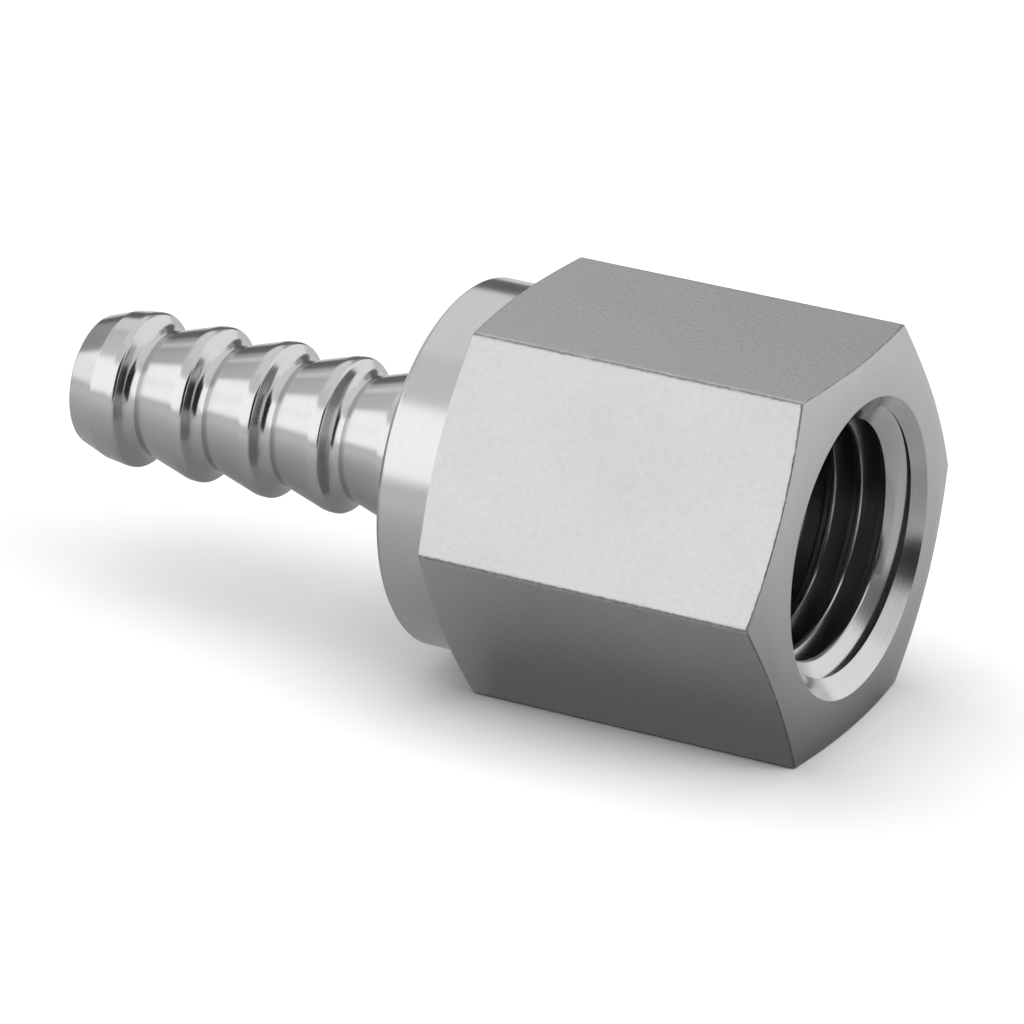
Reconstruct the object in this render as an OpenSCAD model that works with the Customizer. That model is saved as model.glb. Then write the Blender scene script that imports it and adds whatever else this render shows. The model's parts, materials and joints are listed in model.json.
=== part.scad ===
// Hose barb connector: a hexagon-bar body with a female pipe-thread port at one end
// and a four-barb hose stem at the other, turned in one piece.
// The axis is X. The port's mouth is at x = 0 and the stem points along -X.
// The body lies on the lower flat of its hexagon.

/* [Hexagon] */
// Distance across the flats of the bar
hex_af = 19.05; // [18.8:0.05:22]
// Radius of the drawn bar's long edges
hex_edge_r = 0.5; // [0.1:0.1:1]
// Length of the hexagon along the axis
hex_len = 18.5; // [16:0.1:30]
// Diameter of the flat face round the port's mouth
mouth_face_d = 17.5; // [16:0.1:18.6]
// Diameter at which the chamfer behind the hexagon starts
rear_face_d = 18.7; // [18.5:0.1:18.9]
// Slope of both chamfers from the end faces
chamfer_angle = 14; // [8:1:30]

/* [Collar] */
// Diameter of the turned collar behind the hexagon
collar_d = 18.4; // [14:0.1:18.6]
// Length of the collar along the axis
collar_len = 3.0; // [1.5:0.1:6]
// Broken edge at the collar's rear rim
collar_break = 0.25; // [0.1:0.05:0.5]

/* [Hose stem] */
// Number of barbs
barb_count = 4; // [2:1:6]
// Distance from one barb to the next
barb_pitch = 3.9; // [3.5:0.1:5]
// Diameter over the barbs
crest_d = 7.9; // [7.7:0.1:8.4]
// Diameter at the foot of each barb, which is the hose's bore
root_d = 6.35; // [6.1:0.05:6.8]
// Length of the short cylinder on top of each barb
crest_land = 0.2; // [0.1:0.05:0.4]
// Radius that blends a barb's ramp into its land
ramp_blend_r = 1.1; // [0.5:0.1:2]
// Radius of the edge between a barb's land and its back
crest_nose_r = 0.2; // [0.1:0.05:0.25]
// Hollow radius of a barb's back
barb_back_r = 0.8; // [0.6:0.05:1.2]
// Length from the last barb's foot to the collar
neck_len = 5.4; // [4:0.1:9]
// Radius in the corner between neck and collar
neck_fillet_r = 0.4; // [0.2:0.1:0.8]

/* [Stem tip] */
// Length of the first barb, from the tip's face to the barb's foot
nose_len = 3.75; // [3.4:0.05:6]
// Length of the steep lead-in cone at the tip
lead_len = 1.5; // [1.2:0.05:2]
// Diameter where the lead-in cone ends
lead_d = 7.6; // [7:0.05:7.8]
// Diameter of the tip before its edge is rounded
tip_d = 6.55; // [5.8:0.05:6.8]
// Radius of the tip's edge
tip_edge_r = 0.2; // [0.1:0.05:0.3]

/* [Port] */
// Diameter of the straight hole that the thread is cut in
tap_hole_d = 11.4; // [11:0.05:11.8]
// Depth of the straight hole from the mouth's face
tap_hole_depth = 15; // [12:0.5:16]
// Diameter of the countersink at the mouth
countersink_d = 14.9; // [14:0.1:16]
// Full angle of the countersink
countersink_angle = 90; // [60:1:120]
// Full angle of the drill's point at the bottom of the hole
drill_point_angle = 118; // [90:1:140]
// Diameter of the flow passage through the stem
flow_d = 4.8; // [4:0.1:5]
// Broken edge of the flow passage at the tip
flow_break = 0.15; // [0.05:0.05:0.2]

/* [Hidden] */
$fn = 128;

hex_corner_r = hex_af / sqrt(3);
edge_centre_r = (hex_af / 2 - hex_edge_r) / cos(30);
chamfer_rise = tan(chamfer_angle);
collar_rear_x = -hex_len - collar_len;
last_foot_x = collar_rear_x - neck_len;
first_foot_x = last_foot_x - (barb_count - 1) * barb_pitch;
tip_x = first_foot_x - nose_len;

crest_r = crest_d / 2;
root_r = root_d / 2;
lead_r = lead_d / 2;
tip_r = tip_d / 2;
flow_r = flow_d / 2;
tap_hole_r = tap_hole_d / 2;
countersink_r = countersink_d / 2;
countersink_depth = (countersink_r - tap_hole_r) / tan(countersink_angle / 2);
drill_point_len = (tap_hole_r - flow_r) / tan(drill_point_angle / 2);

// A barb's back drops from its nose to its foot on a hollow arc
back_drop = crest_r - crest_nose_r - root_r;
back_len = sqrt(2 * barb_back_r * back_drop - back_drop * back_drop);
back_angle = acos(1 - back_drop / barb_back_r);

// The ramp is the line from a barb's foot that meets its blend radius at a tangent
ramp_run = barb_pitch - back_len - crest_nose_r - crest_land;
ramp_rise = crest_r - root_r;
ramp_reach = sqrt(ramp_run * ramp_run - (2 * ramp_blend_r - ramp_rise) * ramp_rise);
ramp_angle = 2 * atan(ramp_rise / (ramp_run + ramp_reach));

// How far cuts run past the faces that they open
clear = 1;

// Points along an arc, from one angle to another
function arc(centre, radius, from, to, steps) =
    [for (i = [0:steps]) let (a = from + (to - from) * i / steps) centre + radius * [cos(a), sin(a)]];

// The same list without its first and last point
function inner(points) = [for (i = [1:len(points) - 2]) points[i]];

// A barb's ramp from its foot at x, and the start of its land, as [x, radius]
function ramp(x) = concat(
    [[x, root_r]],
    arc([x + ramp_run, crest_r - ramp_blend_r], ramp_blend_r, 90 + ramp_angle, 90, 6)
);

// A barb's land end, nose and hollow back down to the foot of the next ramp at x
function back(x) = concat(
    arc([x - back_len - crest_nose_r, crest_r - crest_nose_r], crest_nose_r, 90, 0, 6),
    inner(arc([x, root_r + barb_back_r], barb_back_r, 270 - back_angle, 270, 10))
);

// The tip's rounded edge and lead-in cone, and the shallow cone up to the first land
function nose() =
    let (lead_angle = atan((lead_r - tip_r) / lead_len),
         edge_x = tip_x + tip_edge_r,
         edge_r = tip_r - tip_edge_r * (1 / cos(lead_angle) - tan(lead_angle)),
         land_x = first_foot_x - back_len - crest_nose_r - crest_land)
    concat(
        [[tip_x, 0]],
        arc([edge_x, edge_r], tip_edge_r, 180, 90 + lead_angle, 6),
        [[tip_x + lead_len, lead_r], [land_x, crest_r]]
    );

// The barbs behind the first, each a ramp and a back
function later_barbs() =
    [for (i = [1:barb_count - 1])
        let (foot_x = first_foot_x + (i - 1) * barb_pitch)
        each concat(ramp(foot_x), back(foot_x + barb_pitch))];

// The neck's ramp and cylinder, the corner radius, and the collar
function neck_and_collar() = concat(
    ramp(last_foot_x),
    arc([collar_rear_x - neck_fillet_r, crest_r + neck_fillet_r], neck_fillet_r, 270, 360, 6),
    [[collar_rear_x, collar_d / 2 - collar_break],
     [collar_rear_x + collar_break, collar_d / 2],
     [collar_rear_x + collar_len + clear, collar_d / 2],
     [collar_rear_x + collar_len + clear, 0]]
);

// Turns an outline of [x, radius] points round the X axis
module turned(outline) {
    rotate([0, 90, 0])
        rotate_extrude()
            polygon([for (p = outline) [p[1], p[0]]]);
}

// The bar's section: six flats with an arc at each of the corners between them
module hexagon_section() {
    polygon([for (i = [0:5])
        let (corner_turn = 30 + 60 * i)
        each arc(edge_centre_r * [cos(corner_turn), sin(corner_turn)],
                 hex_edge_r, corner_turn - 30, corner_turn + 30, 6)]);
}

// The hexagon bar, with its corners chamfered at both ends
module hexagon_bar() {
    front_cut = chamfer_rise * (hex_corner_r + clear - mouth_face_d / 2);
    rear_cut = chamfer_rise * (hex_corner_r + clear - rear_face_d / 2);
    intersection() {
        translate([-hex_len - clear, 0, 0])
            rotate([0, 90, 0])
                linear_extrude(height = hex_len + 2 * clear)
                    hexagon_section();
        turned([
            [-hex_len, 0],
            [-hex_len, rear_face_d / 2],
            [-hex_len + rear_cut, hex_corner_r + clear],
            [-front_cut, hex_corner_r + clear],
            [0, mouth_face_d / 2],
            [0, 0]
        ]);
    }
}

// The collar, neck and barbs, in one turned outline from the tip
module hose_stem() {
    turned(concat(nose(), back(first_foot_x), later_barbs(), neck_and_collar()));
}

// The countersunk tap hole, its drill point and the flow passage out of the tip
module waterway() {
    turned([
        [tip_x - clear, 0],
        [tip_x - clear, flow_r + flow_break + clear],
        [tip_x + flow_break, flow_r],
        [-tap_hole_depth - drill_point_len, flow_r],
        [-tap_hole_depth, tap_hole_r],
        [-countersink_depth, tap_hole_r],
        [clear, countersink_r + clear * tan(countersink_angle / 2)],
        [clear, 0]
    ]);
}

module connector_body() {
    color([0.72, 0.72, 0.71])
        difference() {
            union() {
                hexagon_bar();
                hose_stem();
            }
            waterway();
        }
}

connector_body();
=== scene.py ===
# %% [markdown]
# # A hose barb connector, turned from one hexagon bar
#
# The real part is a stainless pipe fitting. It starts as hexagon bar. A lathe turns the hose stem and the
# collar at one end, drills it through, and taps a tapered pipe thread at the other end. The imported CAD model
# gives the size and the place of all this, and this script gives it the look of cut metal.

import json
from math import atan, cos, degrees, pi, radians, sin, sqrt, tan

import bpy
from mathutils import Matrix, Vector

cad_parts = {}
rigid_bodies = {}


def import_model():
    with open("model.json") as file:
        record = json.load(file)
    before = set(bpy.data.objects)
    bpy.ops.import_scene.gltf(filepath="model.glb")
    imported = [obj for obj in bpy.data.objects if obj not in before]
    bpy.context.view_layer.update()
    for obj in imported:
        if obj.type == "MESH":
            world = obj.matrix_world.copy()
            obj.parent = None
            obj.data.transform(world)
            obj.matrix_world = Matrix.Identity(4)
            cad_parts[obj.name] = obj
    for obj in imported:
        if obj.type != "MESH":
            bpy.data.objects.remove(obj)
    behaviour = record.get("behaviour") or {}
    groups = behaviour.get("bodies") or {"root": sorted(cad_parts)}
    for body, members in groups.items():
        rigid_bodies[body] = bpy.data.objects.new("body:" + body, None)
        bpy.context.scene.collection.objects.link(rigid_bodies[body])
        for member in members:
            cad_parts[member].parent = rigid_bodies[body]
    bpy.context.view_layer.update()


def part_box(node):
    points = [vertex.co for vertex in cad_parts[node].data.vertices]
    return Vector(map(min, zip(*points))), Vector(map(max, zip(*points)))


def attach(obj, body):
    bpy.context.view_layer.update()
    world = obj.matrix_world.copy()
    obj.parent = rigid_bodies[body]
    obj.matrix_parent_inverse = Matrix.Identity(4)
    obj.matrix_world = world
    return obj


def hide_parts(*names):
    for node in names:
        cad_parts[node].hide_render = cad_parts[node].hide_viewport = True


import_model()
MM = 0.001

# %% [markdown]
# ## The sizes
#
# They are the values that the CAD source has, in millimetres. The axis is X, the mouth of the port is at
# x = 0 and the stem points along -X. A few small ones differ or are added, because only a close view shows
# them: the hexagon's crisper edges, the barbs' smoother backs, the taper of the port and the thread.

# %% Sizes of the body
HEX_ACROSS_FLATS = 19.05
HEX_LENGTH = 18.5
HEX_EDGE_RADIUS = 0.3
MOUTH_FACE_RADIUS = 8.75
REAR_FACE_RADIUS = 9.35
CHAMFER_SLOPE = tan(radians(14))
COLLAR_RADIUS = 9.2
COLLAR_LENGTH = 3.0
COLLAR_BREAK = 0.25
collar_rear_x = -HEX_LENGTH - COLLAR_LENGTH
print("The collar's rear face is at x =", collar_rear_x)

# %% Sizes of the hose stem
BARB_COUNT = 4
BARB_PITCH = 3.9
CREST_RADIUS = 3.95
ROOT_RADIUS = 3.175
CREST_LAND = 0.2
RAMP_BLEND_RADIUS = 1.1
BACK_LENGTH = 0.974
BACK_STEEPEST = radians(62)
CREST_NOSE_RADIUS = 0.25
NECK_LENGTH = 5.4
NECK_FILLET_RADIUS = 0.4
NOSE_LENGTH = 3.75
LEAD_LENGTH = 1.5
LEAD_RADIUS = 3.8
TIP_RADIUS = 3.275
TIP_EDGE_RADIUS = 0.2
FLOW_RADIUS = 2.4
FLOW_BREAK = 0.15
last_foot_x = collar_rear_x - NECK_LENGTH
first_foot_x = last_foot_x - (BARB_COUNT - 1) * BARB_PITCH
tip_x = first_foot_x - NOSE_LENGTH
print("The tip of the stem is at x =", round(tip_x, 3))

# %% Sizes of the port and its thread
COUNTERSINK_RADIUS = 7.45
PORT_RADIUS = 5.95
PORT_DEPTH = 15.0
DRILL_POINT_SLOPE = tan(radians(118 / 2))
PIPE_TAPER = 1 / 32
THREAD_PITCH = 25.4 / 18
THREAD_ROOT_RADIUS = 6.88
THREAD_FIRST_CREST = -1.443
THREAD_END = -12.6
port_end_radius = PORT_RADIUS - PORT_DEPTH * PIPE_TAPER
print("Thread pitch in mm:", round(THREAD_PITCH, 3))

# %% [markdown]
# ## A helper for node trees
#
# A node tree is easier to read in Python when each small sum is one line. `calc` adds one Math node, and
# takes numbers or the outputs of other nodes. `feed` joins a value to a socket in either case, and
# `hypotenuse` gives the distance that two sides at a right angle make.

# %% Small tools for building node trees


def feed(tree, socket, value):
    if isinstance(value, bpy.types.NodeSocket):
        tree.links.new(value, socket)
    else:
        socket.default_value = value


def calc(tree, operation, *values):
    node = tree.nodes.new("ShaderNodeMath")
    node.operation = operation
    for socket, value in zip(node.inputs, values):
        feed(tree, socket, value)
    return node.outputs[0]


def hypotenuse(tree, a, b):
    return calc(tree, "SQRT", calc(tree, "ADD", calc(tree, "POWER", a, 2.0), calc(tree, "POWER", b, 2.0)))


def combine(tree, x, y, z):
    node = tree.nodes.new("ShaderNodeCombineXYZ")
    for socket, value in zip(node.inputs, (x, y, z)):
        feed(tree, socket, value)
    return node.outputs[0]


def separate(tree, vector):
    node = tree.nodes.new("ShaderNodeSeparateXYZ")
    feed(tree, node.inputs[0], vector)
    return node.outputs


# %% A new Geometry Nodes tree with named inputs


def geometry_tree(name, inputs):
    tree = bpy.data.node_groups.new(name, "GeometryNodeTree")
    tree.interface.new_socket("Geometry", in_out="INPUT", socket_type="NodeSocketGeometry")
    for label, kind in inputs.items():
        tree.interface.new_socket(label, in_out="INPUT", socket_type=kind)
    tree.interface.new_socket("Geometry", in_out="OUTPUT", socket_type="NodeSocketGeometry")
    entry = tree.nodes.new("NodeGroupInput")
    leave = tree.nodes.new("NodeGroupOutput")
    return tree, entry.outputs, leave.inputs[0]


def run_tree(holder, tree, values):
    modifier = holder.modifiers.new(tree.name, "NODES")
    modifier.node_group = tree
    for item in tree.interface.items_tree:
        if item.in_out == "INPUT" and item.name in values:
            modifier[item.identifier] = values[item.name]
    holder.update_tag()
    depsgraph = bpy.context.evaluated_depsgraph_get()
    made = bpy.data.meshes.new_from_object(holder.evaluated_get(depsgraph), depsgraph=depsgraph)
    holder.modifiers.remove(modifier)
    for number in reversed(range(len(made.materials))):
        if made.materials[number] is None:
            made.materials.pop(index=number)
    return made


# %% An object from a list of points


def points_object(name, points, numbers=None):
    mesh = bpy.data.meshes.new(name)
    mesh.from_pydata([(x * MM, r * MM, 0) for x, r in points], [], [])
    for label, values in (numbers or {}).items():
        layer = mesh.attributes.new(label, "FLOAT", "POINT")
        layer.data.foreach_set("value", values)
    holder = bpy.data.objects.new(name, mesh)
    bpy.context.scene.collection.objects.link(holder)
    return holder


# %% [markdown]
# ## The finishes
#
# One bar of steel shows four finishes here. The hexagon's flats keep the matte skin of the drawn bar. The end
# face and the chamfers are faced on the lathe. The collar and the stem are turned with a fine tool and are
# nearly bright. The port is bored and tapped. The colour is almost the same in all four, so what tells them
# apart is the roughness and the tiny relief, and two node groups make those: one for the bar's grain, one for
# the rings that a turning tool leaves. A third paints a dark line of shade along the edges of the flats.

# %% A shader node group whose sockets are all numbers
FLOAT = "NodeSocketFloat"


def shader_group(name, inputs, outputs):
    group = bpy.data.node_groups.new(name, "ShaderNodeTree")
    for label, value in inputs.items():
        socket = group.interface.new_socket(label, in_out="INPUT", socket_type=FLOAT)
        socket.default_value = value
    for label in outputs:
        group.interface.new_socket(label, in_out="OUTPUT", socket_type=FLOAT)
    return group, group.nodes.new("NodeGroupInput").outputs, group.nodes.new("NodeGroupOutput").inputs


def noise(tree, vector, scale, detail, roughness):
    node = tree.nodes.new("ShaderNodeTexNoise")
    feed(tree, node.inputs["Vector"], vector)
    feed(tree, node.inputs["Scale"], scale)
    feed(tree, node.inputs["Detail"], detail)
    feed(tree, node.inputs["Roughness"], roughness)
    return node.outputs["Fac"]


def remap(tree, value, from_low, from_high, to_low=0.0, to_high=1.0, soft=False):
    """Moves a value from one range to another, and a soft one starts and ends gently."""
    node = tree.nodes.new("ShaderNodeMapRange")
    node.interpolation_type = "SMOOTHSTEP" if soft else "LINEAR"
    feed(tree, node.inputs["Value"], value)
    feed(tree, node.inputs["From Min"], from_low)
    feed(tree, node.inputs["From Max"], from_high)
    feed(tree, node.inputs["To Min"], to_low)
    feed(tree, node.inputs["To Max"], to_high)
    return node.outputs["Result"]


def spread(tree, value, low, high):
    """Moves a noise of 0 to 1, which stays near 0.5, to the range from low to high."""
    return remap(tree, value, 0.25, 0.75, low, high)


def object_coordinates(tree):
    return tree.nodes.new("ShaderNodeTexCoord").outputs["Object"]


# %% The grain of drawn bar
GRAIN_CLOUD = 0.05


def build_bar_grain():
    group, entry, leave = shader_group(
        "Bar grain", {"Speck Scale": 9.0, "Stretch": 0.5, "Depth": 0.5}, ["Height", "Speck", "Cloud"],
    )
    x, y, z = separate(group, object_coordinates(group))
    along = calc(group, "MULTIPLY", x, entry["Stretch"])
    vector = combine(group, along, y, z)
    scale = calc(group, "DIVIDE", entry["Speck Scale"], MM)
    speck = noise(group, vector, scale, detail=2.0, roughness=0.6)
    cloud = noise(group, vector, calc(group, "MULTIPLY", scale, GRAIN_CLOUD), detail=3.0, roughness=0.5)
    feed(group, leave["Speck"], spread(group, speck, 0.0, 1.0))
    feed(group, leave["Cloud"], spread(group, cloud, 0.0, 1.0))
    height = calc(group, "MULTIPLY", calc(group, "MULTIPLY", speck, entry["Depth"]), MM)
    feed(group, leave["Height"], height)
    return group


bar_grain = build_bar_grain()

# %% The rings of a turning tool
# A tool that cuts round the X axis leaves lines that follow x on a cylinder and the radius on an end face.
# Their sum changes across both, so one noise that is quick along it and slow round the axis serves all.
RADIUS_SHARE = 0.9
RING_CLOUD = 0.12


def build_turning_rings():
    group, entry, leave = shader_group(
        "Turning rings", {"Ring Scale": 7.0, "Break Up": 0.05, "Depth": 0.5}, ["Height", "Ring", "Cloud"],
    )
    x, y, z = separate(group, object_coordinates(group))
    across = calc(group, "MULTIPLY_ADD", hypotenuse(group, y, z), RADIUS_SHARE, x)
    slow_y = calc(group, "MULTIPLY", y, entry["Break Up"])
    slow_z = calc(group, "MULTIPLY", z, entry["Break Up"])
    vector = combine(group, across, slow_y, slow_z)
    scale = calc(group, "DIVIDE", entry["Ring Scale"], MM)
    ring = noise(group, vector, scale, detail=3.0, roughness=0.65)
    cloud = noise(group, vector, calc(group, "MULTIPLY", scale, RING_CLOUD), detail=2.0, roughness=0.5)
    feed(group, leave["Ring"], spread(group, ring, 0.0, 1.0))
    feed(group, leave["Cloud"], spread(group, cloud, 0.0, 1.0))
    height = calc(group, "MULTIPLY", calc(group, "MULTIPLY", ring, entry["Depth"]), MM)
    feed(group, leave["Height"], height)
    return group


turning_rings = build_turning_rings()

# %% The painted shade along the edges of the flats
# The flats end in a thin dark line of painted shade, ragged and broken in places, that stands in for the
# darker reflection of their small rounded edges. The group measures how far a spot is from the nearest long
# edge of the hexagon, and from the chamfer round the mouth.
LINE_BLUR = 0.3


def build_painted_edge_shade():
    group, entry, leave = shader_group(
        "Painted edge shade", {"Width": 0.1, "Ragged": 0.1, "Dash Scale": 3.0}, ["Mask"],
    )
    coordinates = object_coordinates(group)
    x, y, z = separate(group, coordinates)
    x = calc(group, "DIVIDE", x, MM)
    radius = calc(group, "DIVIDE", hypotenuse(group, y, z), MM)
    from_corner = calc(group, "PINGPONG", calc(group, "ARCTAN2", z, y), pi / 6)
    from_long_edge = calc(group, "MULTIPLY", calc(group, "SINE", from_corner), radius)
    front_x = calc(group, "MULTIPLY", calc(group, "SUBTRACT", MOUTH_FACE_RADIUS, radius), CHAMFER_SLOPE)
    from_front = calc(group, "SUBTRACT", front_x, x)
    nearest = calc(group, "MINIMUM", from_long_edge, from_front)
    dash_scale = calc(group, "DIVIDE", entry["Dash Scale"], MM)
    dashes = noise(group, coordinates, dash_scale, detail=3.0, roughness=0.6)
    shift = calc(group, "MULTIPLY", spread(group, dashes, -1.0, 1.0), entry["Ragged"])
    outer = calc(group, "MULTIPLY", entry["Width"], 1 + LINE_BLUR)
    inner = calc(group, "MULTIPLY", entry["Width"], 1 - LINE_BLUR)
    mask = remap(group, calc(group, "ADD", nearest, shift), outer, inner, soft=True)
    feed(group, leave["Mask"], mask)
    return group


painted_edge_shade = build_painted_edge_shade()

# %% A steel that is finished by one of the groups


def place_group(tree, group, values):
    node = tree.nodes.new("ShaderNodeGroup")
    node.node_tree = group
    for label, value in values.items():
        node.inputs[label].default_value = value
    return node.outputs


def colour_between(tree, factor, dark, pale):
    node = tree.nodes.new("ShaderNodeMix")
    node.data_type = "RGBA"
    feed(tree, node.inputs["Factor"], factor)
    node.inputs["A"].default_value = (*dark, 1.0)
    node.inputs["B"].default_value = (*pale, 1.0)
    return node.outputs["Result"]


def steel(name, group, group_values, mask, dark, pale, rough, bump):
    material = bpy.data.materials.new(name)
    material.use_nodes = True
    tree = material.node_tree
    surface = tree.nodes["Principled BSDF"]
    surface.inputs["Metallic"].default_value = 1.0
    pattern = place_group(tree, group, group_values)
    feed(tree, surface.inputs["Base Color"], colour_between(tree, pattern[mask], dark, pale))
    feed(tree, surface.inputs["Roughness"], remap(tree, pattern["Cloud"], 0.0, 1.0, *rough))
    relief = tree.nodes.new("ShaderNodeBump")
    relief.inputs["Strength"].default_value = bump
    relief.inputs["Distance"].default_value = 1.0
    feed(tree, relief.inputs["Height"], pattern["Height"])
    feed(tree, surface.inputs["Normal"], relief.outputs["Normal"])
    return material


def paint_edge_shade(material, colour, values):
    """Lays the painted shade of the edges over the colour that a finish has already."""
    tree = material.node_tree
    socket = tree.nodes["Principled BSDF"].inputs["Base Color"]
    under = socket.links[0].from_socket
    edge_shaded = colour_between(tree, place_group(tree, painted_edge_shade, values)["Mask"], colour, colour)
    tree.links.new(under, edge_shaded.node.inputs["A"])
    tree.links.new(edge_shaded, socket)


# %% The four finishes of the steel
flats_steel = steel(
    "Drawn bar flats", bar_grain, {"Speck Scale": 4.5, "Stretch": 0.8, "Depth": 0.02}, "Speck",
    dark=(0.47, 0.47, 0.466), pale=(0.52, 0.52, 0.516), rough=(0.36, 0.42), bump=0.7,
)
# Painted shade: a dark line along the flats' rounded edges, in place of their darker reflection.
paint_edge_shade(flats_steel, (0.28, 0.28, 0.275), {"Width": 0.06, "Ragged": 0.06, "Dash Scale": 3.0})
faced_steel = steel(
    "Faced end", turning_rings, {"Ring Scale": 8.0, "Break Up": 0.08, "Depth": 0.004}, "Ring",
    dark=(0.55, 0.55, 0.545), pale=(0.58, 0.58, 0.575), rough=(0.30, 0.36), bump=0.5,
)
turned_steel = steel(
    "Turned stem", turning_rings, {"Ring Scale": 9.0, "Break Up": 0.1, "Depth": 0.0015}, "Ring",
    dark=(0.535, 0.535, 0.53), pale=(0.565, 0.565, 0.56), rough=(0.14, 0.19), bump=0.4,
)
port_steel = steel(
    "Bored port", turning_rings, {"Ring Scale": 8.0, "Break Up": 0.06, "Depth": 0.002}, "Ring",
    dark=(0.52, 0.52, 0.515), pale=(0.57, 0.57, 0.565), rough=(0.16, 0.22), bump=0.5,
)
FINISHES = [turned_steel, flats_steel, faced_steel, port_steel]
TURNED, FLATS, FACED, PORT = range(4)
print("Finishes:", [m.name for m in FINISHES])

# %% [markdown]
# ## The barbs
#
# Each barb is a cone that the hose slides up, a short land, a rounded nose and a hollow back that holds the
# hose. The barbs are all alike, so one outline is written as points of x and radius, and a Geometry Nodes
# tree repeats it along the stem. The count and the pitch stay named inputs.

# %% The outline of one barb


def arc(centre_x, centre_r, radius, start, end, steps):
    turns = [radians(start + (end - start) * i / steps) for i in range(steps + 1)]
    return [(centre_x + radius * cos(a), centre_r + radius * sin(a)) for a in turns]


ramp_run = BARB_PITCH - BACK_LENGTH - CREST_LAND
ramp_rise = CREST_RADIUS - ROOT_RADIUS
ramp_reach = sqrt(ramp_run**2 - (2 * RAMP_BLEND_RADIUS - ramp_rise) * ramp_rise)
ramp_angle = 2 * atan(ramp_rise / (ramp_run + ramp_reach))
CRISP = 0.03


def ramp(foot_x):
    """Up the cone from a barb's foot, with one point close to the foot that keeps the corner crisp."""
    blend = arc(foot_x + ramp_run, CREST_RADIUS - RAMP_BLEND_RADIUS, RAMP_BLEND_RADIUS,
                90 + degrees(ramp_angle), 90, 6)
    close = (foot_x + CRISP * cos(ramp_angle), ROOT_RADIUS + CRISP * sin(ramp_angle))
    return [(foot_x, ROOT_RADIUS), close] + blend


# A straight line at the steepest slope joins the nose and the hollow, and this is the sum of their radii
both_radii = (BACK_LENGTH * sin(BACK_STEEPEST) - ramp_rise * cos(BACK_STEEPEST)) / (1 - cos(BACK_STEEPEST))
hollow_radius = both_radii - CREST_NOSE_RADIUS
steepest = degrees(BACK_STEEPEST)


def back(foot_x):
    """From the end of the land, over the nose and down the hollow back, to just before the next foot."""
    nose = arc(foot_x - BACK_LENGTH, CREST_RADIUS - CREST_NOSE_RADIUS, CREST_NOSE_RADIUS,
               90, 90 - steepest, 7)
    hollow = arc(foot_x, ROOT_RADIUS + hollow_radius, hollow_radius, 270 - steepest, 270 - 2, 12)
    return nose + hollow


barb_outline = ramp(0) + back(BARB_PITCH)
print(len(barb_outline), "points on one barb; its ramp rises at", round(degrees(ramp_angle), 1), "degrees")

# %% The tree that repeats the barb
INTEGER = "NodeSocketInt"


def build_barb_row():
    tree, entry, leave = geometry_tree("Barb row", {"Count": INTEGER, "Pitch": FLOAT, "First Foot": FLOAT})
    line = tree.nodes.new("GeometryNodeMeshLine")
    feed(tree, line.inputs["Count"], entry["Count"])
    feed(tree, line.inputs["Start Location"], combine(tree, entry["First Foot"], 0.0, 0.0))
    feed(tree, line.inputs["Offset"], combine(tree, entry["Pitch"], 0.0, 0.0))
    copies = tree.nodes.new("GeometryNodeInstanceOnPoints")
    feed(tree, copies.inputs["Points"], line.outputs["Mesh"])
    feed(tree, copies.inputs["Instance"], entry["Geometry"])
    plain = tree.nodes.new("GeometryNodeRealizeInstances")
    feed(tree, plain.inputs["Geometry"], copies.outputs["Instances"])
    metal = tree.nodes.new("GeometryNodeSetMaterial")
    metal.inputs["Material"].default_value = turned_steel
    feed(tree, metal.inputs["Geometry"], plain.outputs["Geometry"])
    feed(tree, leave, metal.outputs["Geometry"])
    return tree


one_barb = points_object("one_barb", barb_outline)
row_mesh = run_tree(one_barb, build_barb_row(),
                    {"Count": BARB_COUNT - 1, "Pitch": BARB_PITCH * MM, "First Foot": first_foot_x * MM})
barb_row = [(v.co.x / MM, v.co.y / MM) for v in row_mesh.vertices]
bpy.data.objects.remove(one_barb)
first_x, last_x = barb_row[0][0], barb_row[-1][0]
print("The row has", len(barb_row), "points, from x =", round(first_x, 2), "to", round(last_x, 2))

# %% [markdown]
# ## One outline for the whole part
#
# The outline runs from the tip's bore out over the tip, along the stem and the collar, over the hexagon, and
# back through the port and the bore. A turned corner on a real part is never quite sharp, so `rounded` swaps
# each corner for a small arc, with a point close by on each side, so that smooth shading stays on the arc.

# %% Corners with a small radius
CORNER_STEPS = 3


def rounded(corners):
    """Corners are (x, radius, edge radius). The first and the last are only where the lines start and end."""
    points = []
    for before, corner, after in zip(corners, corners[1:], corners[2:]):
        here = Vector(corner[:2])
        to_before = (Vector(before[:2]) - here).normalized()
        to_after = (Vector(after[:2]) - here).normalized()
        turn = pi - to_before.angle(to_after)
        reach = corner[2] * tan(turn / 2)
        points.append(here + to_before * (reach + CRISP))
        for i in range(CORNER_STEPS + 1):
            t = i / CORNER_STEPS
            start, end = here + to_before * reach, here + to_after * reach
            points.append(start * (1 - t) ** 2 + here * 2 * t * (1 - t) + end * t**2)
        points.append(here + to_after * (reach + CRISP))
    return [(p.x, p.y) for p in points]


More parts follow.
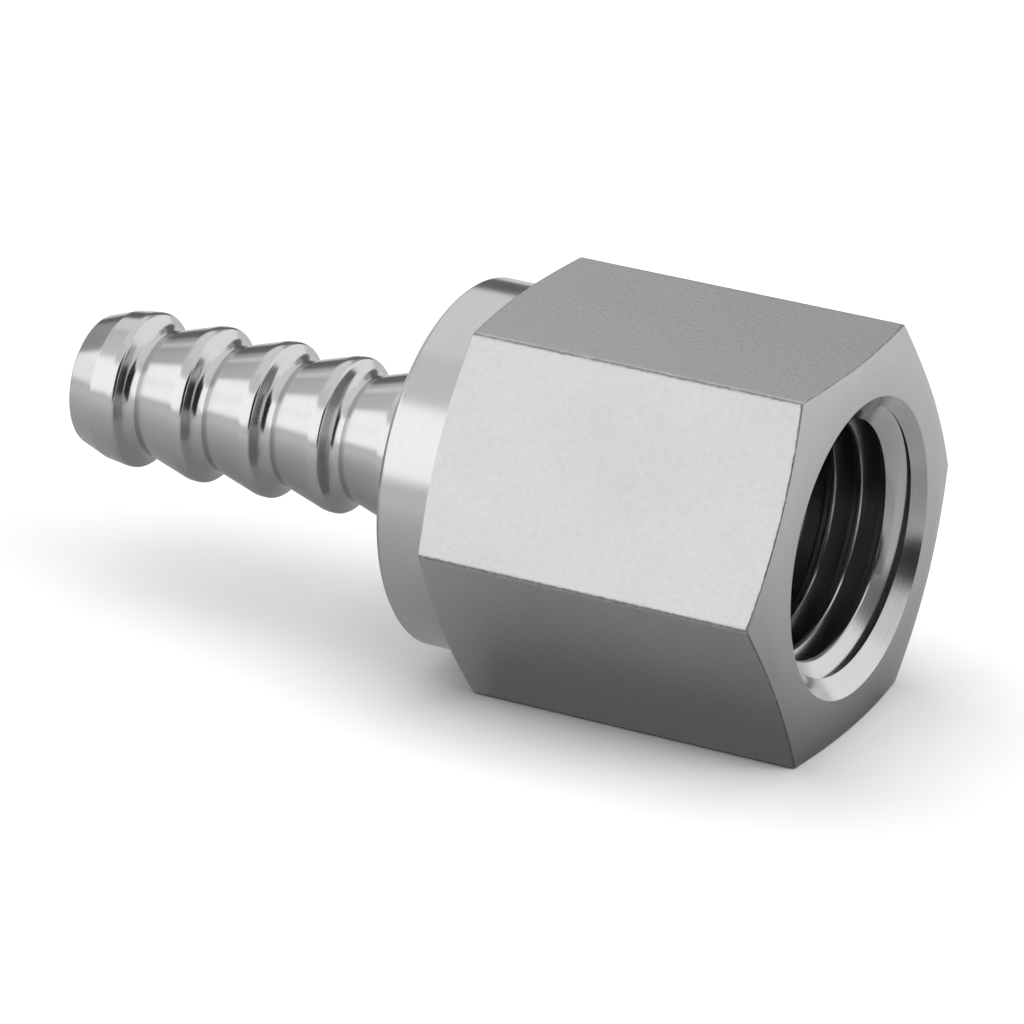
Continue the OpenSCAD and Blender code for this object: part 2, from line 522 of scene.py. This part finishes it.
# %% The tip and the first barb
lead_angle = atan((LEAD_RADIUS - TIP_RADIUS) / LEAD_LENGTH)
tip_edge_x = tip_x + TIP_EDGE_RADIUS
tip_edge_r = TIP_RADIUS - TIP_EDGE_RADIUS * (1 / cos(lead_angle) - tan(lead_angle))
land_start_x = first_foot_x - BACK_LENGTH - CREST_LAND
tip_bore = rounded([
    (tip_x + 2, FLOW_RADIUS, 0),
    (tip_x + FLOW_BREAK, FLOW_RADIUS, 0.03),
    (tip_x, FLOW_RADIUS + FLOW_BREAK, 0.03),
    (tip_x, tip_edge_r, 0),
])
tip_edge = arc(tip_edge_x, tip_edge_r, TIP_EDGE_RADIUS, 180, 90 + degrees(lead_angle), 7)
lead_corner = rounded([
    tip_edge[-1] + (0,),
    (tip_x + LEAD_LENGTH, LEAD_RADIUS, 0.25),
    (land_start_x, CREST_RADIUS, 0.3),
    (land_start_x + CREST_LAND, CREST_RADIUS, 0),
])
first_barb = tip_bore + tip_edge + lead_corner + back(first_foot_x)
print("Lead-in angle:", round(degrees(lead_angle), 1), "degrees")

# %% The neck and the collar
neck = ramp(last_foot_x) + arc(collar_rear_x - NECK_FILLET_RADIUS, CREST_RADIUS + NECK_FILLET_RADIUS,
                               NECK_FILLET_RADIUS, 270, 360, 8)
collar = rounded([
    (collar_rear_x, CREST_RADIUS + 1, 0),
    (collar_rear_x, COLLAR_RADIUS - COLLAR_BREAK, 0.1),
    (collar_rear_x + COLLAR_BREAK, COLLAR_RADIUS, 0.15),
    (-HEX_LENGTH, COLLAR_RADIUS, 0.04),
    (-HEX_LENGTH, REAR_FACE_RADIUS, 0),
])
print("Collar from x =", collar_rear_x, "to", -HEX_LENGTH)

# %% The port and the bore
drill_point_length = (port_end_radius - FLOW_RADIUS) / DRILL_POINT_SLOPE
countersink_depth = (COUNTERSINK_RADIUS - PORT_RADIUS) / (1 - PIPE_TAPER)
port = rounded([
    (0, MOUTH_FACE_RADIUS, 0),
    (0, COUNTERSINK_RADIUS, 0.06),
    (-countersink_depth, PORT_RADIUS - countersink_depth * PIPE_TAPER, 0.03),
    (-PORT_DEPTH, port_end_radius, 0.05),
    (-PORT_DEPTH - drill_point_length, FLOW_RADIUS, 0.05),
    (tip_x + FLOW_BREAK, FLOW_RADIUS, 0),
])
print("Drill point ends at x =", round(-PORT_DEPTH - drill_point_length, 2))

# %% [markdown]
# ## The hexagon's rings
#
# Every ring of the mesh is turned, except those on the hexagon. There a ring has to follow six flats, and the
# edge between a flat and a chamfer is a curve, because a cone meets a plane. So each ring carries two weights
# that say how far it has moved from its circle to the front edge and to the rear edge of the flats.

# %% Rings of the rear chamfer, the flats and the front chamfer


def ring(x, r, front, rear, finish):
    return {"x": x, "r": r, "front": front, "rear": rear, "finish": finish}


CORNER_WEIGHTS = [
    (0.03, 0), (0.5, 0), (0.93, 0), (0.96, 0), (0.984, 0.001), (0.996, 0.004), (0.992, 0.008),
]


def corner_rings(face_x, face_r, is_front):
    """Out over a chamfer from its face, and over the small rounded edge on to the flats."""
    rings = []
    for this_end, other_end in CORNER_WEIGHTS:
        front, rear = (this_end, other_end) if is_front else (other_end, this_end)
        rings.append(ring(face_x, face_r, front, rear, FACED if other_end == 0 else FLATS))
    return rings


rear_rings = corner_rings(-HEX_LENGTH, REAR_FACE_RADIUS, False)
flat_rings = [ring(0, 0, share, 1 - share, FLATS) for share in (0.05, 0.25, 0.5, 0.75, 0.95)]
front_rings = corner_rings(0, MOUTH_FACE_RADIUS, True)[::-1]
print(len(rear_rings + flat_rings + front_rings), "rings make the hexagon")

# %% All rings in order, as one object


def turned_rings(points, finish):
    return [ring(x, r, 0, 0, finish) for x, r in points]


COUNTERSINK_START = 3
rings = turned_rings(first_barb + barb_row + neck + collar, TURNED)
rings += rear_rings + flat_rings + front_rings
rings += turned_rings(port[:COUNTERSINK_START], FACED)
rings += turned_rings(port[COUNTERSINK_START:], PORT)
outline = points_object(
    "outline",
    [(item["x"], item["r"]) for item in rings],
    {label: [item[label] for item in rings] for label in ("front", "rear", "finish")},
)
print("The outline has", len(rings), "rings")

# %% [markdown]
# ## Turning the outline
#
# A lathe sweeps a tool's outline round an axis. The tree below does the same with a grid: one direction of
# the grid counts the rings and the other counts the columns round the axis. The columns crowd together at the
# six corners, so that the small radius along the hexagon's edges has enough of them. The last row and the
# last column lie on the first, and Merge by Distance closes them.

# %% Nodes that read one number of a ring


def sample(tree, geometry, field, index, kind="FLOAT"):
    node = tree.nodes.new("GeometryNodeSampleIndex")
    node.data_type = kind
    node.domain = "POINT"
    feed(tree, node.inputs["Geometry"], geometry)
    feed(tree, node.inputs["Value"], field)
    feed(tree, node.inputs["Index"], index)
    return node.outputs["Value"]


def named(tree, label):
    node = tree.nodes.new("GeometryNodeInputNamedAttribute")
    node.data_type = "FLOAT"
    node.inputs["Name"].default_value = label
    return node.outputs["Attribute"]


# %% The radius of a hexagon with rounded corners


def hexagon_radius(tree, angle, across_flats, edge_radius):
    """How far the hexagon's skin is from the axis, at an angle that is 0 at a corner."""
    from_corner = calc(tree, "PINGPONG", angle, pi / 6)
    half = calc(tree, "DIVIDE", across_flats, 2.0)
    on_flat = calc(tree, "DIVIDE", half, calc(tree, "COSINE", calc(tree, "SUBTRACT", pi / 6, from_corner)))
    centre = calc(tree, "DIVIDE", calc(tree, "SUBTRACT", half, edge_radius), cos(pi / 6))
    aside = calc(tree, "MULTIPLY", centre, calc(tree, "SINE", from_corner))
    inside = calc(tree, "SUBTRACT", calc(tree, "POWER", edge_radius, 2.0), calc(tree, "POWER", aside, 2.0))
    chord = calc(tree, "SQRT", calc(tree, "MAXIMUM", inside, 0.0))
    on_edge = calc(tree, "ADD", calc(tree, "MULTIPLY", centre, calc(tree, "COSINE", from_corner)), chord)
    rise = calc(tree, "MULTIPLY", edge_radius, sin(pi / 6))
    run = calc(tree, "ADD", centre, calc(tree, "MULTIPLY", edge_radius, cos(pi / 6)))
    edge_end = calc(tree, "ARCTAN2", rise, run)
    choose = tree.nodes.new("GeometryNodeSwitch")
    choose.input_type = "FLOAT"
    feed(tree, choose.inputs["Switch"], calc(tree, "LESS_THAN", from_corner, edge_end))
    feed(tree, choose.inputs["False"], on_flat)
    feed(tree, choose.inputs["True"], on_edge)
    return choose.outputs["Output"]


# %% The grid that becomes the part


def build_grid(tree, across, around):
    """A flat grid with one unit between its points, and the number of the row and column of each point."""
    grid = tree.nodes.new("GeometryNodeMeshGrid")
    feed(tree, grid.inputs["Size X"], across)
    feed(tree, grid.inputs["Size Y"], around)
    feed(tree, grid.inputs["Vertices X"], calc(tree, "ADD", across, 1.0))
    feed(tree, grid.inputs["Vertices Y"], calc(tree, "ADD", around, 1.0))
    place = separate(tree, tree.nodes.new("GeometryNodeInputPosition").outputs[0])
    row = calc(tree, "ADD", place["X"], calc(tree, "DIVIDE", across, 2.0))
    column = calc(tree, "ADD", place["Y"], calc(tree, "DIVIDE", around, 2.0))
    return grid.outputs["Mesh"], row, column


def move_to(tree, geometry, position):
    node = tree.nodes.new("GeometryNodeSetPosition")
    feed(tree, node.inputs["Geometry"], geometry)
    feed(tree, node.inputs["Position"], position)
    return node.outputs["Geometry"]


def weld(tree, geometry, distance):
    node = tree.nodes.new("GeometryNodeMergeByDistance")
    feed(tree, node.inputs["Geometry"], geometry)
    feed(tree, node.inputs["Distance"], distance)
    return node.outputs["Geometry"]


def finish_tree(tree, geometry, leave, choices):
    """Realize Instances, then one Set Material for each finish and the faces that it is on."""
    plain = tree.nodes.new("GeometryNodeRealizeInstances")
    feed(tree, plain.inputs["Geometry"], geometry)
    flow = plain.outputs["Geometry"]
    for material, chosen in choices:
        node = tree.nodes.new("GeometryNodeSetMaterial")
        node.inputs["Material"].default_value = material
        feed(tree, node.inputs["Geometry"], flow)
        feed(tree, node.inputs["Selection"], chosen)
        flow = node.outputs["Geometry"]
    feed(tree, leave, flow)


# %% The turning tree
CROWDING = 0.85
WELD = 0.002 * MM


def build_turning():
    tree, entry, leave = geometry_tree("Turn the outline", {
        "Columns": INTEGER, "Across Flats": FLOAT, "Edge Radius": FLOAT, "Length": FLOAT,
        "Mouth Radius": FLOAT, "Rear Radius": FLOAT, "Chamfer Slope": FLOAT,
    })
    size = tree.nodes.new("GeometryNodeAttributeDomainSize")
    feed(tree, size.inputs["Geometry"], entry["Geometry"])
    count = size.outputs["Point Count"]
    grid, row, column = build_grid(tree, count, entry["Columns"])
    index = calc(tree, "FLOORED_MODULO", calc(tree, "ROUND", row), count)
    turn = calc(tree, "MULTIPLY", calc(tree, "DIVIDE", column, entry["Columns"]), 2 * pi)
    crowd = calc(tree, "MULTIPLY", calc(tree, "SINE", calc(tree, "MULTIPLY", turn, 6.0)), CROWDING / 6)
    angle = calc(tree, "SUBTRACT", turn, crowd)

    place = tree.nodes.new("GeometryNodeInputPosition").outputs[0]
    circle = separate(tree, sample(tree, entry["Geometry"], place, index, "FLOAT_VECTOR"))
    front = sample(tree, entry["Geometry"], named(tree, "front"), index)
    rear = sample(tree, entry["Geometry"], named(tree, "rear"), index)
    skin = hexagon_radius(tree, angle, entry["Across Flats"], entry["Edge Radius"])
    beyond_mouth = calc(tree, "SUBTRACT", skin, entry["Mouth Radius"])
    front_x = calc(tree, "MULTIPLY", calc(tree, "MULTIPLY", beyond_mouth, entry["Chamfer Slope"]), -1.0)
    beyond_rear = calc(tree, "SUBTRACT", skin, entry["Rear Radius"])
    rear_x = calc(tree, "MULTIPLY", beyond_rear, entry["Chamfer Slope"])
    rear_x = calc(tree, "SUBTRACT", rear_x, entry["Length"])
    stay = calc(tree, "SUBTRACT", calc(tree, "SUBTRACT", 1.0, front), rear)
    x = calc(tree, "MULTIPLY", circle["X"], stay)
    x = calc(tree, "MULTIPLY_ADD", front_x, front, x)
    x = calc(tree, "MULTIPLY_ADD", rear_x, rear, x)
    moved = calc(tree, "ADD", front, rear)
    radius = calc(tree, "MULTIPLY_ADD", skin, moved, calc(tree, "MULTIPLY", circle["Y"], stay))

    finish = sample(tree, entry["Geometry"], named(tree, "finish"), calc(tree, "FLOOR", row))
    store = tree.nodes.new("GeometryNodeStoreNamedAttribute")
    store.data_type = "FLOAT"
    store.domain = "FACE"
    store.inputs["Name"].default_value = "finish"
    feed(tree, store.inputs["Geometry"], grid)
    feed(tree, store.inputs["Value"], finish)
    y = calc(tree, "MULTIPLY", radius, calc(tree, "COSINE", angle))
    z = calc(tree, "MULTIPLY", radius, calc(tree, "SINE", angle))
    body = move_to(tree, store.outputs["Geometry"], combine(tree, x, y, z))
    body = weld(tree, body, WELD)
    choices = [(turned_steel, True)]
    for number in (FLATS, FACED, PORT):
        chosen = calc(tree, "COMPARE", named(tree, "finish"), float(number), 0.1)
        choices.append((FINISHES[number], chosen))
    finish_tree(tree, body, leave, choices)
    return tree


# %% Run the turning tree
body_mesh = run_tree(outline, build_turning(), {
    "Columns": 240, "Across Flats": HEX_ACROSS_FLATS * MM, "Edge Radius": HEX_EDGE_RADIUS * MM,
    "Length": HEX_LENGTH * MM, "Mouth Radius": MOUTH_FACE_RADIUS * MM, "Rear Radius": REAR_FACE_RADIUS * MM,
    "Chamfer Slope": CHAMFER_SLOPE,
})
bpy.data.objects.remove(outline)
body = bpy.data.objects.new("connector", body_mesh)
bpy.context.scene.collection.objects.link(body)
on_each = [0] * len(body_mesh.materials)
for face in body_mesh.polygons:
    on_each[face.material_index] += 1
print("Faces of each finish:", dict(zip([m.name for m in body_mesh.materials], on_each)))

# %% [markdown]
# ## The thread
#
# A tap cuts the thread on the real part: a screw with V-shaped teeth that leaves its own shape as a groove.
# The thread here is made in the same way. A tree winds the section of one tooth into a helix that grows
# narrower with the pipe taper, and a boolean takes that tap away from the port. Its two ends run out to
# nothing, as a tap's first teeth do.

# %% The section of one tooth, as (along, radius) from its middle
# The flanks open from the root at half the thread's angle, and a short line breaks the edge of its crest.
HALF_THREAD_ANGLE = radians(30)
ROOT_FLAT = 0.2
CREST_LEFT = 0.03
CREST_BREAK = 0.028
TOOTH_FOOT_RADIUS = PORT_RADIUS - 0.35
wall_half = (THREAD_PITCH - CREST_LEFT) / 2
break_radius = PORT_RADIUS + CREST_BREAK
break_half = ROOT_FLAT / 2 + (THREAD_ROOT_RADIUS - break_radius) * tan(HALF_THREAD_ANGLE)
half_section = [
    (ROOT_FLAT / 2, THREAD_ROOT_RADIUS),
    ((ROOT_FLAT / 2 + break_half) / 2, (THREAD_ROOT_RADIUS + break_radius) / 2),
    (break_half, break_radius),
    (wall_half, PORT_RADIUS),
    (wall_half, TOOTH_FOOT_RADIUS),
]
tooth_section = [(-along, r) for along, r in half_section[::-1]] + half_section
tooth = points_object("tooth", tooth_section)
print("A tooth is", round(2 * wall_half, 2), "mm wide at the port's wall")

# %% The tap tree


def build_tap():
    tree, entry, leave = geometry_tree("Wind the tap", {
        "Turns": FLOAT, "Steps": INTEGER, "Pitch": FLOAT, "Start": FLOAT, "Start Angle": FLOAT,
        "Taper": FLOAT, "Foot Radius": FLOAT, "Run Out": FLOAT,
    })
    size = tree.nodes.new("GeometryNodeAttributeDomainSize")
    feed(tree, size.inputs["Geometry"], entry["Geometry"])
    count = size.outputs["Point Count"]
    grid, row, column = build_grid(tree, entry["Steps"], count)
    index = calc(tree, "FLOORED_MODULO", calc(tree, "ROUND", column), count)
    place = tree.nodes.new("GeometryNodeInputPosition").outputs[0]
    section = separate(tree, sample(tree, entry["Geometry"], place, index, "FLOAT_VECTOR"))
    share = calc(tree, "DIVIDE", row, entry["Steps"])
    turned = calc(tree, "MULTIPLY", share, entry["Turns"])
    middle = calc(tree, "SUBTRACT", entry["Start"], calc(tree, "MULTIPLY", turned, entry["Pitch"]))
    angle = calc(tree, "SUBTRACT", entry["Start Angle"], calc(tree, "MULTIPLY", turned, 2 * pi))
    left = calc(tree, "SUBTRACT", entry["Turns"], turned)
    nearest_end = calc(tree, "MINIMUM", turned, left)
    grown = calc(tree, "MINIMUM", calc(tree, "DIVIDE", nearest_end, entry["Run Out"]), 1.0)
    x = calc(tree, "MULTIPLY_ADD", section["X"], grown, middle)
    height = calc(tree, "SUBTRACT", section["Y"], entry["Foot Radius"])
    radius = calc(tree, "MULTIPLY_ADD", height, grown, entry["Foot Radius"])
    radius = calc(tree, "MULTIPLY_ADD", middle, entry["Taper"], radius)
    y = calc(tree, "MULTIPLY", radius, calc(tree, "COSINE", angle))
    z = calc(tree, "MULTIPLY", radius, calc(tree, "SINE", angle))
    tap = move_to(tree, grid, combine(tree, x, y, z))
    tap = weld(tree, tap, WELD)
    finish_tree(tree, tap, leave, [(port_steel, True)])
    return tree


# %% Wind the tap
# It starts a few turns outside the mouth, so that it is full-grown where it enters.
TURNS_TO_MOUTH = 2.5
STEPS_PER_TURN = 120
first_groove = THREAD_FIRST_CREST + THREAD_PITCH / 2
tap_turns = (first_groove - THREAD_END) / THREAD_PITCH + TURNS_TO_MOUTH
tap_mesh = run_tree(tooth, build_tap(), {
    "Turns": tap_turns, "Steps": int(tap_turns * STEPS_PER_TURN), "Pitch": THREAD_PITCH * MM,
    "Start": (first_groove + TURNS_TO_MOUTH * THREAD_PITCH) * MM, "Start Angle": 2 * pi * TURNS_TO_MOUTH,
    "Taper": PIPE_TAPER, "Foot Radius": TOOTH_FOOT_RADIUS * MM, "Run Out": 1.0,
})
bpy.data.objects.remove(tooth)
tap = bpy.data.objects.new("tap", tap_mesh)
bpy.context.scene.collection.objects.link(tap)
print("The tap has", round(tap_turns, 1), "turns and", len(tap_mesh.polygons), "faces")

# %% [markdown]
# ## Cutting the thread
#
# The boolean is applied at once and the tap is removed, so that what is left is one plain mesh. Both meshes
# have to point outwards and be closed for a boolean to work; which way each points is tested first with the
# signed volume, and turned round if needed.

# %% Which way a mesh points


def signed_volume(mesh):
    mesh.calc_loop_triangles()
    points = [v.co for v in mesh.vertices]
    return sum(points[a].dot(points[b].cross(points[c])) for a, b, c in
               (t.vertices for t in mesh.loop_triangles)) / 6


for mesh in (body_mesh, tap_mesh):
    if signed_volume(mesh) < 0:
        mesh.flip_normals()
print("Volumes in mm3:", [round(signed_volume(mesh) / MM**3, 1) for mesh in (body_mesh, tap_mesh)])

# %% Cut
cut = body.modifiers.new("cut", "BOOLEAN")
cut.operation = "DIFFERENCE"
cut.solver = "MANIFOLD"
cut.object = tap
depsgraph = bpy.context.evaluated_depsgraph_get()
cut_mesh = bpy.data.meshes.new_from_object(body.evaluated_get(depsgraph), depsgraph=depsgraph)
body.modifiers.remove(cut)
body.data = cut_mesh
bpy.data.objects.remove(tap)
cut_mesh.shade_smooth()
cut_mesh.set_sharp_from_angle(angle=radians(32))
cut_mesh.calc_loop_triangles()
cut_volume = signed_volume(cut_mesh) / MM**3
print("Cut body:", round(cut_volume, 1), "mm3,", len(cut_mesh.loop_triangles), "triangles")

# %% Hand the piece to the frame
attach(body, "root")
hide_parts("connector_body")
print("Materials on the piece:", [m.name for m in body.data.materials])

# %% [markdown]
# ## The studio
#
# Metal has hardly any colour of its own: what the eye reads as steel is the room in it. So the studio has two
# halves. Three wide lamps light the white paper, and give the soft shadow under the part. A dome stands
# round the part for the metal alone, painted with soft-edged panels: a bright one in front on the left, a
# bright one behind on the right, dark ones on the camera's right and low down at the back. The camera doesn't
# see the dome, and it neither lights nor shades the paper.

# %% How the shade grows paler away from a foot
# A foot is a rectangle round which shade is painted, as middle and half size in x and y, in millimetres. The
# painted shade is darkest in it, and from there it rises with the logarithm of the distance, counted in steps.
LOG_BASE = 2.718


def beyond(tree, value, middle, half):
    """How far a value in metres lies outside a span that is given in millimetres."""
    away = calc(tree, "ABSOLUTE", calc(tree, "SUBTRACT", calc(tree, "DIVIDE", value, MM), middle))
    return calc(tree, "MAXIMUM", calc(tree, "SUBTRACT", away, half), 0.0)


def shade_round(tree, x, y, foot, darkest, rise, step):
    (middle_x, middle_y), (half_x, half_y) = foot
    distance = hypotenuse(tree, beyond(tree, x, middle_x, half_x), beyond(tree, y, middle_y, half_y))
    counted = calc(tree, "ADD", calc(tree, "DIVIDE", distance, step), 1.0)
    return calc(tree, "MULTIPLY_ADD", calc(tree, "LOGARITHM", counted, LOG_BASE), rise, darkest)


# %% The paper
# It glows a little for the camera alone, and less so close to where the part stands, which paints a darker
# shadow round its foot.
FLOOR_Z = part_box("connector_body")[0].z
FLOOR_HALF = 0.7
PAPER_LIFT = 0.32
HEXAGON_FOOT = (-9.25, 0.0), (9.25, 5.5)
SQUARE = (-1, -1), (1, -1), (1, 1), (-1, 1)


def stage_sheet(name, half, z, material):
    mesh = bpy.data.meshes.new(name)
    mesh.from_pydata([(x * half, y * half, z) for x, y in SQUARE], [], [(0, 1, 2, 3)])
    mesh.materials.append(material)
    sheet = bpy.data.objects.new(name, mesh)
    bpy.context.scene.collection.objects.link(sheet)
    return sheet


paper = bpy.data.materials.new("White paper")
paper.use_nodes = True
paper_surface = paper.node_tree.nodes["Principled BSDF"].inputs
paper_surface["Base Color"].default_value = (0.94, 0.94, 0.94, 1)
paper_surface["Roughness"].default_value = 1.0
paper_surface["Specular IOR Level"].default_value = 0.0
paper_surface["Emission Color"].default_value = (1, 1, 1, 1)
tree = paper.node_tree
to_camera = tree.nodes.new("ShaderNodeLightPath").outputs["Is Camera Ray"]
x, y, z = separate(tree, object_coordinates(tree))
# Painted shadow: the camera-only glow is lowest at the hexagon's foot and grows away from it.
glow_with_painted_shadow = shade_round(tree, x, y, HEXAGON_FOOT, darkest=0.0, rise=0.15, step=1.5)
glow_with_painted_shadow = calc(tree, "MINIMUM", glow_with_painted_shadow, PAPER_LIFT)
feed(tree, paper_surface["Emission Strength"], calc(tree, "MULTIPLY", to_camera, glow_with_painted_shadow))
stage_sheet("floor", FLOOR_HALF, FLOOR_Z, paper)
print("Paper at z =", round(FLOOR_Z / MM, 3), "mm")

# %% The camera
camera_data = bpy.data.cameras.new("camera")
camera_data.lens = 260.9
camera_data.sensor_width = 36
camera_data.clip_start = 0.01
camera_data.clip_end = 10
camera = bpy.data.objects.new("camera", camera_data)
camera.location = (0.138638, -0.291744, 0.147390)
camera.rotation_euler = (radians(65.716), radians(-0.208), radians(28.466))
bpy.context.scene.collection.objects.link(camera)
bpy.context.scene.camera = camera
print("Camera", round(camera.location.length, 3), "m from the port")

# %% The lamps over the paper
# A wide lamp overhead, and two low ones at the sides that lighten the long shadow of the stem.


def paper_lamp(name, azimuth, elevation, distance, size, brightness):
    lamp = bpy.data.lights.new(name, "AREA")
    lamp.shape = "SQUARE"
    lamp.size = size
    lamp.energy = brightness * pi * size**2
    holder = bpy.data.objects.new(name, lamp)
    a, e = radians(azimuth), radians(elevation)
    toward = Vector((sin(a) * cos(e), -cos(a) * cos(e), sin(e)))
    holder.location = toward * distance
    holder.rotation_euler = toward.to_track_quat("Z", "Y").to_euler()
    holder.visible_glossy = False
    bpy.context.scene.collection.objects.link(holder)
    print(name, round(lamp.energy, 2), "W")


paper_lamp("overhead lamp", azimuth=0, elevation=90, distance=0.6, size=1.0, brightness=1.13)
paper_lamp("right lamp", azimuth=90, elevation=24, distance=0.6, size=0.44, brightness=4.2)
paper_lamp("left lamp", azimuth=260, elevation=26, distance=0.62, size=0.5, brightness=2.1)

# %% A material that only glows, for the surfaces that the metal sees


def glow(name):
    material = bpy.data.materials.new(name)
    material.use_nodes = True
    tree = material.node_tree
    tree.nodes.clear()
    surface = tree.nodes.new("ShaderNodeEmission")
    surface.inputs["Color"].default_value = (1, 1, 1, 1)
    tree.links.new(surface.outputs[0], tree.nodes.new("ShaderNodeOutputMaterial").inputs["Surface"])
    material.cycles.emission_sampling = "NONE"
    return material, tree, surface.inputs["Strength"]


def for_metal_only(thing):
    thing.visible_camera = False
    thing.visible_diffuse = False
    thing.visible_shadow = False


# %% The panels on the dome, as azimuths, elevations, tilt and brightness
# Azimuth 0 is -Y and 90 is +X, in degrees. A later panel covers an earlier one, and a tilted one leans up to
# the right by that many degrees in each degree.
CEILING = 1.0
FEATHER = 6.0
PANELS = {
    "back middle": ((172, 206), (-10, 40), 0, 0.45),
    "back low": ((172, 244), (-10, 21), 0, 0.16),
    "left": ((242, 276), (-10, 46), 0, 0.78),
    "left corner": ((230, 250), (-10, 25), 0, 0.42),
    "left low": ((244, 276), (-10, 31), 0, 0.42),
    "back right softbox": ((112, 174), (-10, 62), 0, 1.2),
    "right": ((76, 112), (18, 62), 0, 0.95),
    "right low": ((76, 116), (-10, 18), 0, 0.2),
    "front ceiling": ((-84, 20), (40, 68), 0, 0.87),
    "camera side flag": ((20, 78), (-10, 52), 0, 0.03),
    "front left softbox": ((-90, 16), (4, 46), 0.25, 1.55),
    "softbox end": ((-90, -68), (-10, 22), 0, 1.35),
    "front low": ((-90, 16), (-10, 4), 0, 0.72),
}


def band(tree, value, low, high):
    """1 between low and high and 0 elsewhere, with soft edges."""
    away = calc(tree, "SUBTRACT", value, (low + high) / 2)
    outer, inner = (high - low + FEATHER) / 2, (high - low - FEATHER) / 2
    return remap(tree, calc(tree, "ABSOLUTE", away), outer, inner, soft=True)


def azimuth_of(tree, x, y):
    return calc(tree, "DEGREES", calc(tree, "ARCTAN2", x, calc(tree, "MULTIPLY", y, -1.0)))


dome_glow, tree, strength = glow("Dome")
x, y, z = separate(tree, object_coordinates(tree))
azimuth = azimuth_of(tree, x, y)
elevation = calc(tree, "DEGREES", calc(tree, "ARCTAN2", z, hypotenuse(tree, x, y)))
level = CEILING
for azimuths, elevations, tilt, brightness in PANELS.values():
    aside = calc(tree, "WRAP", calc(tree, "SUBTRACT", azimuth, sum(azimuths) / 2), 180.0, -180.0)
    leaning = calc(tree, "MULTIPLY_ADD", aside, -tilt, elevation)
    half_width = (azimuths[1] - azimuths[0]) / 2
    between = band(tree, aside, -half_width, half_width)
    mask = calc(tree, "MULTIPLY", between, band(tree, leaning, *elevations))
    level = calc(tree, "MULTIPLY_ADD", calc(tree, "SUBTRACT", brightness, level), mask, level)
feed(tree, strength, level)
print(len(PANELS), "panels on the dome")

# %% The dome
DOME_RADIUS = 0.6
DOME_LOWEST = -2
DOME_COLUMNS, DOME_ROWS = 72, 24
points = []
for j in range(DOME_ROWS):
    e = radians(DOME_LOWEST + 90 * j / (DOME_ROWS - 1))
    for i in range(DOME_COLUMNS):
        a = 2 * pi * i / DOME_COLUMNS
        toward = Vector((sin(a) * cos(e), -cos(a) * cos(e), sin(e)))
        points.append(toward * DOME_RADIUS)
faces = []
for j in range(DOME_ROWS - 1):
    for i in range(DOME_COLUMNS):
        here, beside = j * DOME_COLUMNS + i, j * DOME_COLUMNS + (i + 1) % DOME_COLUMNS
        faces.append((here, here + DOME_COLUMNS, beside + DOME_COLUMNS, beside))
faces.append(tuple(range((DOME_ROWS - 1) * DOME_COLUMNS, DOME_ROWS * DOME_COLUMNS)))
dome_mesh = bpy.data.meshes.new("dome")
dome_mesh.from_pydata(points, [], faces)
dome_mesh.materials.append(dome_glow)
dome = bpy.data.objects.new("dome", dome_mesh)
bpy.context.scene.collection.objects.link(dome)
for_metal_only(dome)
print("Dome:", len(faces), "faces")

# %% [markdown]
# ## The shade that the metal sees
#
# The part shades the paper that it stands on, and the steel mirrors that shade: it is what makes the lower
# flat and the stem's underside dark. A card on the paper, again for the metal alone, gives it. It is darkest
# where the hexagon and the stem shade it, and also a little darker in front of the mouth, on the camera's
# right, which the countersink and the port mirror.

# %% The shade card
CARD_HALF = 0.55
CARD_LIFT = 0.05
PAPER_IN_METAL = 0.78
UNDER_HEXAGON = (-8.5, -2.5), (8.5, 6.0)
UNDER_STEM = (-29.0, 0.5), (11.0, 2.5)
FRONT_AZIMUTHS = 18, 100
FRONT_SHADE = 0.26
FRONT_FULL_FROM = 12 * MM

card_glow, tree, strength = glow("Shade card")
x, y, z = separate(tree, object_coordinates(tree))
by_hexagon = shade_round(tree, x, y, UNDER_HEXAGON, darkest=0.158, rise=0.18, step=2.0)
by_stem = shade_round(tree, x, y, UNDER_STEM, darkest=0.3, rise=0.24, step=11.0)
level = calc(tree, "MINIMUM", calc(tree, "MINIMUM", by_hexagon, by_stem), PAPER_IN_METAL)
grown = calc(tree, "MINIMUM", calc(tree, "DIVIDE", hypotenuse(tree, x, y), FRONT_FULL_FROM), 1.0)
in_front = calc(tree, "MULTIPLY", band(tree, azimuth_of(tree, x, y), *FRONT_AZIMUTHS), grown)
level = calc(tree, "MULTIPLY", level, calc(tree, "MULTIPLY_ADD", in_front, -FRONT_SHADE, 1.0))
feed(tree, strength, level)
for_metal_only(stage_sheet("shade_card", CARD_HALF, FLOOR_Z + CARD_LIFT * MM, card_glow))

# %% World and view
# The world is white to the camera and in the metal, and lights nothing.
world = bpy.data.worlds.new("studio")
world.use_nodes = True
room = world.node_tree
path = room.nodes.new("ShaderNodeLightPath").outputs
seen = calc(room, "MAXIMUM", path["Is Camera Ray"], path["Is Glossy Ray"])
seen = calc(room, "MAXIMUM", seen, path["Is Transmission Ray"])
room.nodes["Background"].inputs["Color"].default_value = (1, 1, 1, 1)
feed(room, room.nodes["Background"].inputs["Strength"], seen)
bpy.context.scene.world = world
bpy.context.scene.view_settings.view_transform = "Standard"
